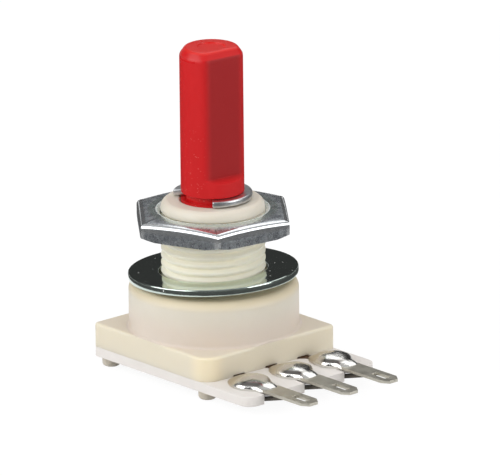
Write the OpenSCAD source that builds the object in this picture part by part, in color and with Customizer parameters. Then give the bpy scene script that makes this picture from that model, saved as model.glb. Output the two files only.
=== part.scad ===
// Rotary potentiometer with a threaded bush, a D shaft and three solder tags.
// +Z runs up the shaft. The origin is on the shaft's axis, in the mounting face:
// the flat top of the drum, where the threaded bush begins. The tags point along -Y.

/* [Shaft] */
// Diameter of the knob shaft
shaft_d = 6; // [5.8:0.01:6.3]
// Height of the shaft's end above the mounting face
shaft_top = 22.8; // [18:0.1:40]
// Distance across the shaft at its flat
flat_across = 5.15; // [4.6:0.01:5.5]
// Height above the mounting face at which the flat starts
flat_start = 10.2; // [9.4:0.1:14]
// Radius of the two long edges beside the flat
flat_edge_r = 0.6; // [0.2:0.05:0.8]
// Width of the chamfer round the shaft's end
end_chamfer = 0.5; // [0.2:0.05:0.8]
// Height of the chamfer round the shaft's end
end_chamfer_h = 0.7; // [0.2:0.05:1.2]
// Diameter of the moulding gate's round recess in the shaft's end
gate_d = 2.7; // [1:0.1:3.5]
// Depth of the gate's recess
gate_depth = 0.12; // [0.05:0.01:0.5]
// How far the shaft stands turned from the middle of its travel, in degrees
shaft_turn = -6.5; // [-60:0.5:60]

/* [Rotor inside the housing] */
// Whole angle that the shaft can turn through between its stops, in degrees
travel = 300; // [240:1:310]
// Diameter of the disc that keeps the shaft in the housing
disc_d = 10.6; // [9.4:0.1:11]
// Thickness of that disc
disc_t = 1.3; // [0.8:0.1:1.8]
// Diameter of the hub under the disc
hub_d = 8; // [7:0.1:8.8]
// Angle that the stop lug takes up on the disc, in degrees
lug_angle = 26; // [10:1:30]
// Radial gap between the lug and the wall of the cavity
lug_gap = 0.2; // [0.1:0.05:0.4]
// Radial gap between the disc and the stop rib
rib_gap = 0.3; // [0.15:0.05:0.5]
// How far the stop rib reaches below the disc
rib_drop = 0.4; // [0.1:0.05:0.6]
// Up and down play of the rotor in the housing
rotor_play = 0.05; // [0.02:0.01:0.15]

/* [Housing] */
// Side of the square flange
flange_w = 16.2; // [16:0.05:18]
// Height of the square flange
flange_h = 2.33; // [1.6:0.01:4]
// Radius of the flange's upright corners
flange_corner_r = 1.6; // [0.5:0.1:2.4]
// How far the round drum stands in from the flange's sides
drum_inset = 0.05; // [0:0.01:0.4]
// Height of the drum above the square flange
drum_h = 4.5; // [3.5:0.1:7]
// Radius of the drum's upper edge
drum_edge_r = 0.9; // [0.2:0.05:1.2]
// Thickness of the drum's round wall
drum_wall = 1.35; // [0.8:0.05:1.8]
// Thickness of the drum's roof
roof_t = 1.4; // [0.8:0.1:2]

/* [Bush] */
// Diameter over the threads of the bush
bush_d = 9.86; // [9.6:0.01:10.4]
// Length of the bush above the mounting face
bush_len = 7.9; // [6.5:0.1:8.6]
// Width of the round edge of the bush's end
bush_round = 0.75; // [0.1:0.05:0.9]
// Height of that round edge
bush_round_h = 0.85; // [0.1:0.05:0.9]
// Pitch of the bush's thread
thread_pitch = 0.75; // [0.5:0.05:1.5]
// Depth of that thread
thread_depth = 0.37; // [0.1:0.01:0.6]
// Height above the mounting face at which the thread starts
thread_start = 0.3; // [0.1:0.05:1]
// How far below the bush's end the thread stops
thread_runout = 1; // [0.8:0.05:2]
// Radial clearance between the shaft and the bush
journal_gap = 0.04; // [0.02:0.01:0.1]
// Width of the bevel at the mouth of the bush's bore
mouth_bevel = 0.2; // [0.05:0.05:0.4]

/* [Base plate] */
// Thickness of the ceramic base plate
plate_t = 0.95; // [0.6:0.05:1.6]
// How far the plate reaches beyond the flange on the tags' side
plate_reach = 6; // [5:0.1:9]
// Radius of the plate's two corners on the tags' side
plate_corner_r = 1.2; // [0.3:0.1:1.6]
// Width of the notch that each tag's clip sits in
notch_w = 2.2; // [1.8:0.05:2.8]
// Depth of that notch
notch_depth = 2; // [1.4:0.1:2.6]

/* [Staked pegs] */
// Distance of a peg's axis from the flange's sides
peg_inset = 1.2; // [1.1:0.05:1.4]
// Diameter of a peg where it passes through the plate
peg_d = 1.1; // [0.8:0.05:1.3]
// Radial clearance of a peg in its hole
peg_gap = 0.05; // [0.02:0.01:0.1]
// Diameter of a peg's spread head
peg_head_d = 1.75; // [1.5:0.05:2]
// Height of a peg's spread head, on which the part stands
peg_head_h = 0.95; // [0.7:0.05:1.6]
// Radius of the round edge of a peg's head
peg_round = 0.35; // [0.1:0.05:0.5]

/* [Printed track] */
// Thickness of the printed films
film_t = 0.05; // [0.02:0.01:0.1]
// Radius of the middle of the resistive track
track_r = 5.5; // [5.3:0.05:5.7]
// Width of the resistive track
track_w = 1.2; // [0.8:0.05:1.4]
// Radius of the middle of the collector ring
collector_r = 2.9; // [2.6:0.05:3.2]
// Width of the collector ring
collector_w = 1.2; // [0.8:0.05:1.4]
// Width of the printed leads that run out to the tags
lead_w = 1.2; // [0.8:0.05:1.6]
// Distance between two leads where they pass under the housing's wall
lead_pitch = 4; // [3.7:0.05:4.3]
// Clearance round a lead where it passes under the housing's wall
lead_gap = 0.1; // [0.05:0.05:0.4]
// How far the track's silver ends run on past the wiper's last place, in degrees
end_past = 5; // [2:0.5:8]
// How far a lead stops short of the notch
lead_short = 0.15; // [0.05:0.05:0.5]

/* [Wiper] */
// Thickness of the wiper's spring sheet
wiper_t = 0.15; // [0.1:0.01:0.25]
// Height of the wiper's base above the printed films
wiper_h = 1.1; // [0.8:0.05:1.5]
// Width of each wiper arm
wiper_arm_w = 0.8; // [0.5:0.05:1]
// Clearance between the wiper's arms and the films
wiper_gap = 0.03; // [0.01:0.01:0.1]
// Diameter of the pins that hold the wiper on the hub
stake_d = 0.7; // [0.5:0.05:0.9]
// Radial clearance of those pins in the wiper
stake_gap = 0.05; // [0.02:0.01:0.1]
// How far those pins stand out below the wiper
stake_reach = 0.25; // [0.1:0.05:0.4]

/* [Solder tags] */
// Distance between two tags
tag_pitch = 5; // [4.6:0.05:5.2]
// Width of a tag
tag_w = 2; // [1.4:0.05:2.2]
// Thickness of a tag's sheet
tag_t = 0.28; // [0.2:0.01:0.5]
// How far a tag reaches beyond the plate
tag_reach = 5.7; // [4.5:0.1:12]
// Width of the slot in a tag's end
eye_w = 0.7; // [0.4:0.05:1]
// Length of the slot in a tag's end
eye_len = 2; // [1.2:0.1:2.6]
// Radius of the slot's corners
eye_corner_r = 0.15; // [0.05:0.05:0.2]
// Sheet left between the slot and the tag's tip
eye_margin = 0.85; // [0.5:0.05:1.5]
// How much the tag narrows towards its tip, on each side
tip_taper_w = 0.5; // [0.1:0.05:0.6]
// Length over which the tag narrows towards its tip
tip_taper_len = 0.75; // [0.3:0.05:1.2]
// Width of the clip's leg under the plate
leg_w = 1.1; // [0.6:0.05:1.6]
// How far the clip's leg grips under the plate, past the notch
leg_grip = 1.5; // [0.8:0.1:2]
// How far out from the plate's end the clip's leg leaves the tag
leg_reach = 2.85; // [1.5:0.05:3.2]
// Clearance between the sloping leg and the notch's round inner end
leg_clearance = 0.25; // [0.15:0.05:0.6]
// How far a tag lies on the plate, past the notch
tag_grip = 3; // [2:0.1:3.4]

/* [Solder joints] */
// Width of a mound of solder
solder_w = 3.8; // [2.4:0.05:4.2]
// Length of a mound of solder
solder_len = 5.8; // [3:0.05:6.2]
// Height of a mound of solder above the plate
solder_h = 0.99; // [0.6:0.01:1.3]
// How far a mound of solder runs past the root of its tag
solder_past_root = 0.7; // [0.2:0.05:0.8]

/* [Washer] */
// How far the washer's edge stands in from the drum's side
washer_inset = 0; // [-0.5:0.05:1]
// Thickness of the washer
washer_t = 0.65; // [0.4:0.05:1]
// Radial clearance of the washer round the bush
washer_gap = 0.22; // [0.15:0.01:0.5]
// Tilt of the washer, which leans on the drum at the side away from the tags, in degrees
washer_tilt = 3; // [0:0.1:4]
// Radius of the washer's edges
washer_edge_r = 0.12; // [0.02:0.01:0.2]

/* [Nut] */
// Width of the nut across its flats
nut_af = 14; // [13:0.1:15]
// Thickness of the nut
nut_t = 1.85; // [1.4:0.05:2.4]
// Height of the nut's underside above the mounting face, where it was left on the thread
nut_rest = 5.08; // [2.2:0.01:5.6]
// Radial clearance between the nut and the bush
nut_gap = 0.05; // [0.02:0.01:0.1]
// How far inside the nut's flats its flat top ends and starts to slope down
nut_crown_inset = 0.8; // [0.2:0.05:1.2]
// Slope of the nut's top from there to its sides, in degrees
nut_crown_slope = 14; // [5:1:30]
// How far outside the nut's flats the cut of its lower corners starts
nut_foot_outset = 0.35; // [0.1:0.05:0.8]
// Slope of that cut, in degrees
nut_foot_slope = 30; // [10:1:45]
// Width of the bevel at each end of the nut's bore
nut_bore_bevel = 0.32; // [0.1:0.02:0.6]
// Turn of the nut about its axis, in degrees
nut_turn = -8.5; // [-30:0.5:30]

/* [Retaining ring] */
// Outer diameter of the retaining ring
ring_d = 7.5; // [7:0.1:8.2]
// Thickness of the retaining ring
ring_t = 0.6; // [0.4:0.05:0.8]
// Angle of the ring's opening, in degrees
ring_open = 97; // [60:1:120]
// Direction that the ring's opening faces, in degrees from +X
ring_facing = 180; // [0:1:360]
// Height of the ring above the bush's end
ring_lift = 0.12; // [0.05:0.01:0.2]
// Depth of the groove that holds the ring
groove_depth = 0.5; // [0.3:0.05:0.7]
// Clearance of the ring in its groove
groove_gap = 0.04; // [0.01:0.01:0.08]

/* [Hidden] */
$fn = 96;
// Small overlap of pieces that are joined
cut = 0.05;
// Length by which a cutting shape runs past what it cuts
past = 1;
// Radii of the main round forms
shaft_r = shaft_d / 2;
flange_half = flange_w / 2;
drum_r = flange_half - drum_inset;
washer_r = drum_r - washer_inset;
bush_r = bush_d / 2;
bore_r = shaft_r + journal_gap;
// Heights of the thread's crests and roots
crest_h = 0.2 * thread_pitch;
root_h = 0.16 * thread_pitch;
// Steps of the bush's round end
bush_round_steps = 6;
cavity_r = drum_r - drum_wall;
disc_r = disc_d / 2;
lug_r = cavity_r - lug_gap;
// Heights below the mounting face
flange_top_z = -drum_h;
plate_top_z = flange_top_z - flange_h;
plate_bottom_z = plate_top_z - plate_t;
foot_z = plate_bottom_z - peg_head_h;
roof_z = -roof_t;
film_z = plate_top_z + film_t;
disc_z = roof_z - rotor_play;
hub_z = film_z + wiper_h;
// The stop rib fills what the travel and the lug leave of the turn, less half a degree a side
stop_angle = 360 - travel - lug_angle - 1;
stop_h = disc_t + rotor_play + rib_drop;
// Plan of the plate, its notches and the tags
plate_end_y = -flange_half - plate_reach;
notch_y = plate_end_y + notch_depth;
tag_root_y = notch_y + tag_grip;
tag_tip_y = plate_end_y - tag_reach;
tag_xs = [-tag_pitch, 0, tag_pitch];
peg_pos = flange_half - peg_inset;
// A mound of solder lies over the tag's root, with a thin gap to the housing's wall
solder_y = tag_root_y - solder_len / 2 + solder_past_root;
// The track ends in line with its leads, and its silver ends leave the rest of the turn free
track_gap = 2 * asin(lead_pitch / track_r);
silver_gap = 360 - travel - 2 * end_past;
// Printed leads end under the tags, short of the notches
lead_end_y = notch_y + lead_short;
end_lead_y = -(lead_pitch + lead_w / 2) / tan(track_gap / 2);
// Wiper, seen from above with its contacts on the +Y side
wiper_base_x = -3.4;
wiper_bend_x = -1.4;
wiper_tip_x = 0.5;
wiper_back_y = -2.2;
stake_xs = (wiper_base_x + wiper_bend_x) / 2;
stake_ys = [-1.1, 1.3];
// The ring and its groove
ring_z = bush_len + ring_lift;
groove_r = shaft_r - groove_depth;
// Radii of the nut's corners and bore
nut_corner_r = nut_af / 2 / cos(30);
nut_bore_r = bush_r + nut_gap;
// The washer pivots where the drum's flat top ends
washer_pivot_y = drum_r - drum_edge_r;
washer_hole_r = bush_r + washer_gap;
flat_y = -(flat_across - shaft_r);
// Steps of each round corner beside the flat
corner_steps = 6;

// Plan shapes

// Rectangle about the origin with four round corners
module round_rectangle(width, length, radius) {
    square([width - 2 * radius, length], center = true);
    square([width, length - 2 * radius], center = true);
    for (x = [-1, 1], y = [-1, 1])
        translate([x * (width / 2 - radius), y * (length / 2 - radius)])
            circle(radius);
}

// Triangle with its point at the origin, opening along +X by an angle
module wedge(angle, reach) {
    polygon([[0, 0], [reach, -reach * tan(angle / 2)], [reach, reach * tan(angle / 2)]]);
}

// Flat ring between two radii
module flat_ring(inner, outer) {
    difference() {
        circle(outer);
        circle(inner);
    }
}

// Stretch of a flat ring that takes up an angle about +X
module ring_sector(inner, outer, angle) {
    intersection() {
        flat_ring(inner, outer);
        wedge(angle, outer + past);
    }
}

// Half section of a round body whose upper outer edge is rounded
module round_top_section(radius, low, high, edge) {
    translate([0, low])
        square([radius - edge, high - low]);
    translate([0, low])
        square([radius, high - low - edge]);
    translate([radius - edge, high - edge])
        circle(edge);
}

// Puts its children at the four pegs' places
module at_pegs() {
    for (x = [-1, 1], y = [-1, 1])
        translate([x * peg_pos, y * peg_pos])
            children();
}

// Housing

// Drum and flange as one block
module housing_block() {
    rotate_extrude()
        round_top_section(drum_r, flange_top_z - cut, 0, drum_edge_r);
    translate([0, 0, plate_top_z])
        linear_extrude(flange_h)
            round_rectangle(flange_w, flange_w, flange_corner_r);
}

// Bush with a round end; each turn of its thread is drawn as a groove of its own all round
module bush() {
    root_r = bush_r - thread_depth;
    flank_h = (thread_pitch - crest_h - root_h) / 2;
    grooves = floor((bush_len - thread_runout - thread_start) / thread_pitch);
    side = [
        for (i = [0:grooves - 1])
            let (z = thread_start + i * thread_pitch)
                each [
                    [bush_r, z],
                    [root_r, z + flank_h],
                    [root_r, z + flank_h + root_h],
                    [bush_r, z + thread_pitch - crest_h]
                ]
    ];
    end = [
        for (step = [0:bush_round_steps])
            let (angle = 90 * step / bush_round_steps)
                [bush_r - bush_round * (1 - cos(angle)), bush_len - bush_round_h * (1 - sin(angle))]
    ];
    rotate_extrude()
        polygon(concat([[0, -cut], [bush_r, -cut]], side, end, [[0, bush_len]]));
}

// Peg that passes through the plate and is spread below it
module staked_peg() {
    translate([0, 0, plate_bottom_z - cut])
        cylinder(d = peg_d, h = plate_t + 2 * cut);
    mirror([0, 0, 1])
        rotate_extrude()
            round_top_section(peg_head_d / 2, -plate_bottom_z, -foot_z, peg_round);
}

// Low slots under the wall that let the printed leads out
module lead_slots() {
    slot_w = lead_w + 2 * lead_gap;
    for (x = [-lead_pitch, 0, lead_pitch])
        translate([x - slot_w / 2, -flange_half - past, plate_top_z - past])
            cube([slot_w, flange_half + past - collector_r, past + film_t + lead_gap]);
}

// Rib inside the drum that stops the rotor's lug at both ends of its travel
module stop_rib() {
    translate([0, 0, roof_z - stop_h])
        rotate([0, 0, -90])
            linear_extrude(stop_h + cut)
                ring_sector(disc_r + rib_gap, cavity_r + cut, stop_angle);
}

module housing() color([0.90, 0.87, 0.78]) {
    difference() {
        union() {
            housing_block();
            bush();
        }
        translate([0, 0, plate_top_z - past])
            cylinder(r = cavity_r, h = roof_z - plate_top_z + past);
        translate([0, 0, roof_z - past])
            cylinder(r = bore_r, h = bush_len + roof_t + 2 * past);
        translate([0, 0, bush_len - mouth_bevel])
            cylinder(r1 = bore_r, r2 = bore_r + mouth_bevel + cut, h = mouth_bevel + cut);
        lead_slots();
    }
    stop_rib();
    at_pegs()
        staked_peg();
}

// Base plate

// Outline of the plate: the flange's corners behind, smaller corners beside the tags
module plate_outline() {
    round_rectangle(flange_w, flange_w, flange_corner_r);
    translate([0, plate_end_y / 2])
        round_rectangle(flange_w, -plate_end_y, plate_corner_r);
}

// Notch with a round inner end
module notch() {
    translate([-notch_w / 2, plate_end_y - past])
        square([notch_w, notch_depth + past - notch_w / 2]);
    translate([0, notch_y - notch_w / 2])
        circle(d = notch_w);
}

module base_plate() color([0.93, 0.92, 0.90])
    translate([0, 0, plate_bottom_z])
        difference() {
            linear_extrude(plate_t)
                difference() {
                    plate_outline();
                    for (x = tag_xs)
                        translate([x, 0])
                            notch();
                }
            translate([0, 0, -past])
                at_pegs()
                    cylinder(r = peg_d / 2 + peg_gap, h = plate_t + 2 * past);
        }

// Printed films

// Lead from a start straight out under the wall, then across to a tag and on below it
module lead_strip(from_y, start_x, tag_x) {
    half = lead_w / 2;
    polygon([
        [start_x - half, from_y],
        [start_x - half, -flange_half],
        [tag_x - half, tag_root_y],
        [tag_x - half, lead_end_y],
        [tag_x + half, lead_end_y],
        [tag_x + half, tag_root_y],
        [start_x + half, -flange_half],
        [start_x + half, from_y]
    ]);
}

// Gives a plan shape the films' thickness, on top of the plate, and keeps it clear of the pegs
module film() {
    translate([0, 0, plate_top_z])
        linear_extrude(film_t)
            difference() {
                children();
                at_pegs()
                    circle(peg_d / 2 + peg_gap);
            }
}

module resistive_track() color([0.16, 0.15, 0.15])
    film()
        difference() {
            flat_ring(track_r - track_w / 2, track_r + track_w / 2);
            rotate(-90)
                wedge(track_gap, track_r + track_w);
        }

module collector_track() color([0.72, 0.72, 0.70])
    film()
        union() {
            flat_ring(collector_r - collector_w / 2, collector_r + collector_w / 2);
            lead_strip(-collector_r, 0, 0);
        }

// Lead on the left (-1) or the right (1), with the silver end of the track that the wiper
// reaches at the end of its travel
module end_lead(side) color([0.72, 0.72, 0.70])
    film()
        union() {
            rotate(side * (track_gap + silver_gap) / 4 - 90)
                ring_sector(track_r - track_w / 2, track_r + track_w / 2, (track_gap - silver_gap) / 2);
            lead_strip(end_lead_y, side * lead_pitch, side * tag_pitch);
        }

module end_lead_left() end_lead(-1);

module end_lead_right() end_lead(1);

// Solder tags

// Plan of a tag: a strip with a tapered tip and a slot in it
module tag_outline() {
    side_x = tag_w / 2;
    tip_x = side_x - tip_taper_w;
    taper_y = tag_tip_y + tip_taper_len;
    difference() {
        polygon([
            [side_x, tag_root_y],
            [-side_x, tag_root_y],
            [-side_x, taper_y],
            [-tip_x, tag_tip_y],
            [tip_x, tag_tip_y],
            [side_x, taper_y]
        ]);
        translate([0, tag_tip_y + eye_margin + eye_len / 2])
            round_rectangle(eye_w, eye_len, eye_corner_r);
    }
}

// Side view of the leg that slopes down through the notch and grips under the plate
module clip_leg() {
    bend_y = plate_end_y - leg_reach;
    foot_y = notch_y - leg_clearance;
    grip_y = notch_y + leg_grip;
    low_z = plate_bottom_z - tag_t;
    fall = (film_z - low_z) / (foot_y - bend_y);
    rotate([90, 0, 90])
        linear_extrude(leg_w, center = true)
            polygon([
                [bend_y - cut / fall, film_z + cut],
                [bend_y + (tag_t - cut) / fall, film_z + cut],
                [foot_y, plate_bottom_z],
                [grip_y, plate_bottom_z],
                [grip_y, low_z],
                [foot_y, low_z]
            ]);
}

module solder_tag(x) color([0.66, 0.65, 0.62])
    translate([x, 0, 0]) {
        translate([0, 0, film_z])
            linear_extrude(tag_t)
                tag_outline();
        clip_leg();
    }

module solder_tag_left() solder_tag(-tag_pitch);

module solder_tag_middle() solder_tag(0);

module solder_tag_right() solder_tag(tag_pitch);

// Solder joints

// Mound of solder that has run over a tag's root and the lead under it: on the left (-1), in
// the middle (0) or on the right (1)
module solder_joint(side) color([0.78, 0.77, 0.74])
    translate([side * tag_pitch, 0, 0])
        difference() {
            intersection() {
                translate([0, solder_y, plate_top_z])
                    resize([solder_w, solder_len, 2 * solder_h])
                        sphere(d = solder_w, $fn = 36);
                translate([-solder_w, solder_y - solder_len, plate_top_z])
                    cube([2 * solder_w, 2 * solder_len, 2 * solder_h]);
            }
            translate([-tag_w / 2, tag_tip_y, film_z])
                cube([tag_w, tag_root_y - tag_tip_y, tag_t]);
            translate([0, 0, plate_top_z - past])
                linear_extrude(past + film_t)
                    lead_strip(-flange_half + past, side * (lead_pitch - tag_pitch), 0);
            translate([-notch_w / 2, plate_end_y - past, plate_top_z - past])
                cube([notch_w, notch_depth + past, past + film_t]);
        }

module solder_joint_left() solder_joint(-1);

module solder_joint_middle() solder_joint(0);

module solder_joint_right() solder_joint(1);

// Washer, leaning on the drum's top behind and lifted in front
module flat_washer() color([0.30, 0.31, 0.33])
    translate([0, washer_pivot_y, 0])
        rotate([-washer_tilt, 0, 0])
            translate([0, -washer_pivot_y, 0])
                rotate_extrude()
                    translate([(washer_r + washer_hole_r) / 2, washer_t / 2])
                        round_rectangle(washer_r - washer_hole_r, washer_t, washer_edge_r);

// Nut

// Half section that the nut is turned to: the top slopes down to the sides, and the lower
// corners are cut
module nut_section() {
    crown_r = nut_af / 2 - nut_crown_inset;
    foot_r = nut_af / 2 + nut_foot_outset;
    reach = nut_corner_r + past;
    polygon([
        [0, 0],
        [foot_r, 0],
        [reach, (reach - foot_r) * tan(nut_foot_slope)],
        [reach, nut_t - (reach - crown_r) * tan(nut_crown_slope)],
        [crown_r, nut_t],
        [0, nut_t]
    ]);
}

module hex_nut() color([0.52, 0.53, 0.55])
    translate([0, 0, nut_rest])
        rotate([0, 0, nut_turn])
            difference() {
                intersection() {
                    cylinder(r = nut_corner_r, h = nut_t, $fn = 6);
                    rotate_extrude()
                        nut_section();
                }
                translate([0, 0, -past])
                    cylinder(r = nut_bore_r, h = nut_t + 2 * past);
                translate([0, 0, nut_t - nut_bore_bevel])
                    cylinder(r1 = nut_bore_r, r2 = nut_bore_r + nut_bore_bevel + cut,
                        h = nut_bore_bevel + cut);
                translate([0, 0, -cut])
                    cylinder(r1 = nut_bore_r + nut_bore_bevel + cut, r2 = nut_bore_r,
                        h = nut_bore_bevel + cut);
            }

// Rotor: everything below is drawn at the middle of the travel, then turned

module turned() {
    rotate([0, 0, shaft_turn])
        children();
}

// Section of the flatted stretch, whose two corners run round into the shaft's circle
module flatted_section() {
    // The right corner's arc, from the flat up to where it meets the circle
    arc_y = flat_y + flat_edge_r;
    arc_x = sqrt(pow(shaft_r - flat_edge_r, 2) - pow(arc_y, 2));
    meet_angle = atan2(arc_y, arc_x);
    corner = [
        for (step = [0:corner_steps])
            let (angle = meet_angle - (90 + meet_angle) * (1 - step / corner_steps))
                [arc_x + flat_edge_r * cos(angle), arc_y + flat_edge_r * sin(angle)]
    ];
    left_corner = [for (i = [corner_steps:-1:0]) [-corner[i][0], corner[i][1]]];
    polygon(concat(corner, [[0, 0]], left_corner));
    intersection() {
        circle(shaft_r);
        translate([-shaft_r, shaft_r * sin(meet_angle)])
            square([shaft_d, shaft_d]);
    }
}

// Section of the cut that bevels the shaft's end, for a side at a distance from the axis
module end_bevel_section(side) {
    polygon([
        [side - 2 * end_chamfer, shaft_top + end_chamfer_h],
        [side + end_chamfer, shaft_top - 2 * end_chamfer_h],
        [side + end_chamfer, shaft_top + end_chamfer_h]
    ]);
}

// Shaft from the disc up: round, then flatted, with the groove for the ring
module shaft_bar() {
    difference() {
        union() {
            translate([0, 0, disc_z - cut])
                cylinder(r = shaft_r, h = flat_start - disc_z + cut);
            translate([0, 0, flat_start])
                linear_extrude(shaft_top - flat_start)
                    flatted_section();
        }
        translate([0, 0, ring_z - groove_gap])
            linear_extrude(ring_t + 2 * groove_gap)
                flat_ring(groove_r, shaft_r + past);
        rotate_extrude()
            end_bevel_section(shaft_r);
        rotate([90, 0, -90])
            linear_extrude(2 * shaft_d, center = true)
                end_bevel_section(-flat_y);
        translate([0, 0, shaft_top - gate_depth])
            cylinder(d = gate_d, h = past);
    }
}

// Pin that holds the wiper's base
module stake() {
    translate([0, 0, hub_z - wiper_t - stake_reach])
        cylinder(d = stake_d, h = wiper_t + stake_reach + cut);
}

module shaft() color([0.82, 0.14, 0.14])
    turned() {
        shaft_bar();
        translate([0, 0, disc_z - disc_t])
            cylinder(r = disc_r, h = disc_t);
        translate([0, 0, hub_z])
            cylinder(d = hub_d, h = disc_z - disc_t - hub_z + cut);
        translate([0, 0, disc_z - disc_t])
            rotate([0, 0, 90])
                linear_extrude(disc_t)
                    ring_sector(shaft_r, lug_r, lug_angle);
        for (y = stake_ys)
            translate([stake_xs, y, 0])
                stake();
    }

// Leaf that slopes from the wiper's base to its contact, with a turned-up tip
module wiper_arm(radius) {
    base_z = hub_z - wiper_t;
    contact_z = film_z + wiper_gap;
    contact_x = 0;
    translate([0, radius + wiper_arm_w / 2, 0])
        rotate([90, 0, 0])
            linear_extrude(wiper_arm_w)
                polygon([
                    [wiper_bend_x - cut, base_z],
                    [contact_x, contact_z],
                    [wiper_tip_x, contact_z + 2 * wiper_t],
                    [wiper_tip_x, contact_z + 3 * wiper_t],
                    [contact_x, contact_z + wiper_t],
                    [wiper_bend_x - cut, base_z + wiper_t]
                ]);
}

module wiper_spring() color([0.76, 0.66, 0.42])
    turned() {
        translate([0, 0, hub_z - wiper_t])
            linear_extrude(wiper_t)
                difference() {
                    translate([wiper_base_x, wiper_back_y])
                        square([wiper_bend_x - wiper_base_x,
                            track_r + wiper_arm_w / 2 - wiper_back_y]);
                    for (y = stake_ys)
                        translate([stake_xs, y])
                            circle(stake_d / 2 + stake_gap);
                }
        wiper_arm(track_r);
        wiper_arm(collector_r);
    }

module retaining_ring() color([0.56, 0.57, 0.58])
    translate([0, 0, ring_z])
        linear_extrude(ring_t)
            difference() {
                flat_ring(groove_r + groove_gap, ring_d / 2);
                rotate(ring_facing)
                    wedge(ring_open, ring_d);
            }

housing();
base_plate();
resistive_track();
collector_track();
end_lead_left();
end_lead_right();
solder_tag_left();
solder_tag_middle();
solder_tag_right();
solder_joint_left();
solder_joint_middle();
solder_joint_right();
flat_washer();
hex_nut();
shaft();
wiper_spring();
retaining_ring();
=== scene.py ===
from math import atan2, cos, degrees, pi, radians, sin, sqrt, tan

import bmesh
import bpy
from mathutils import Matrix, Vector, noise


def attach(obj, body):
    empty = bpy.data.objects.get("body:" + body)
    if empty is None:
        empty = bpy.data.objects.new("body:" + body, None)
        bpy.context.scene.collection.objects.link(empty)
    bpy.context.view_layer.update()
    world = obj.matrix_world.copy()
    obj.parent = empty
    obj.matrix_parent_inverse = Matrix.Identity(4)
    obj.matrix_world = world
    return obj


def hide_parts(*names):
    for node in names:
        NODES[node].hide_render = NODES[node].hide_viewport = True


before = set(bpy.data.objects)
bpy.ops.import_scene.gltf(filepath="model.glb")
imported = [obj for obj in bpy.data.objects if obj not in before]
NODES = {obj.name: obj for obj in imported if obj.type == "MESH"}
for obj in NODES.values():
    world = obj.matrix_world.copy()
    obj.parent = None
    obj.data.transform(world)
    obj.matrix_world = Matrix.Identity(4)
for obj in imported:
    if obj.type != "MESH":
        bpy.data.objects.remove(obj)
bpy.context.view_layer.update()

# The pieces are modelled in millimetres and brought to metres when they are finished
MM = 0.001

# Vertices closer than this are one
MERGE = 1e-4

# Depth by which bodies sink into each other before they are joined
OVERLAP = 0.2

# Housing
FLANGE_W = 16.2
FLANGE_EDGE_R = 0.26
FLANGE_CORNER_R = 0.5
FRONT_CORNER_R = 1.6
DRUM_R = 8.05
DRUM_EDGE_R = 0.9
DRUM_FILLET_R = 0.3
DRUM_BASE_Z = -4.5
CAVITY_R = 6.7
ROOF_Z = -1.4
BUSH_LEN = 7.9
BUSH_FOOT_Z = -0.6
BUSH_ROUND = 0.75
BUSH_ROUND_H = 0.85
BORE_R = 3.04
BORE_MOUTH = 0.2
THREAD_PITCH = 0.75
THREAD_CREST_R = 4.93
THREAD_ROOT_R = 4.56
THREAD_END_Z = 6.95
THREAD_FADE_H = 0.35
SLOT_XS = (-4.0, 0.0, 4.0)
SLOT_W = 1.4
SLOT_H = 0.15
SLOT_END_Y = -3.0
STOP_ANGLE = 33.0
STOP_INNER_R = 5.6
STOP_H = 1.75

# Base plate and the pegs that hold it
PLATE_TOP_Z = -6.83
PLATE_BOTTOM_Z = -7.78
FOOT_Z = -8.73
PEG_POS = 6.9
PEG_R = 0.55
PEG_HEAD_R = 0.875
PEG_HEAD_EDGE_R = 0.35

# Solder on the tags
TAG_XS = (-5.0, 0.0, 5.0)
SOLDER_HALF_W = 1.9
SOLDER_HALF_LEN = 2.9
SOLDER_Y = -11.3
SOLDER_H = 0.99

# Washer
WASHER_T = 0.65
WASHER_HOLE_R = 5.15
WASHER_TILT = 3.0
WASHER_TOP_EDGE_R = 0.12
WASHER_FOOT_EDGE_R = 0.05

# Nut: half its width across flats, and the cones that its ends are turned to
NUT_HALF = 7.0
NUT_T = 1.85
NUT_TOP_Z = 6.93
NUT_TURN = -8.0
NUT_CROWN_R = 6.4
NUT_CROWN_SLOPE = 9.0
NUT_FOOT_R = 7.45
NUT_FOOT_SLOPE = 24.0
NUT_TOP_EDGE_R = 0.4
NUT_EDGE_R = 0.1
NUT_BORE_R = 4.98
NUT_BORE_BEVEL = 0.32

# Shaft
SHAFT_R = 3.0
SHAFT_TOP = 22.8
SHAFT_TURN = -6.5
FLAT_Y = 2.15
FLAT_EDGE_R = 0.9
FLAT_START = 10.2
SHOULDER_Z = 10.1
SHOULDER_H = 0.45
END_BEVEL = 0.5
END_BEVEL_H = 0.7
BEVEL_FOOT_R = 0.7
TIP_R = 0.4
GATE_R = 1.35
GATE_SLOPE = 0.04
GATE_DEPTH = 0.12
GROOVE_R = 2.5
GROOVE_Z = 7.98
GROOVE_H = 0.68
GROOVE_BEVEL = 0.06
DISC_R = 5.3
DISC_TOP_Z = -1.45
DISC_T = 1.3
HUB_R = 4.0
HUB_Z = -5.68
LUG_R = 6.5
LUG_ANGLE = 26.0
LUG_GAP = 0.05
STAKE_R = 0.35
STAKE_Z = -6.08
STAKES = ((-2.4, -1.1), (-2.4, 1.3))


# Meshes

def clamp(value, low=0, high=1):
    """The value, or the limit that it is past."""
    return min(max(value, low), high)


def side_of(value):
    """1 for what is right of the middle, and -1 for the rest."""
    return 1 if value > 0 else -1


def raw(name, bm):
    """Makes an object of a bmesh, in the units that it was modelled in."""
    mesh = bpy.data.meshes.new(name)
    bm.to_mesh(mesh)
    bm.free()
    piece = bpy.data.objects.new(name, mesh)
    bpy.context.scene.collection.objects.link(piece)
    return piece


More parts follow.
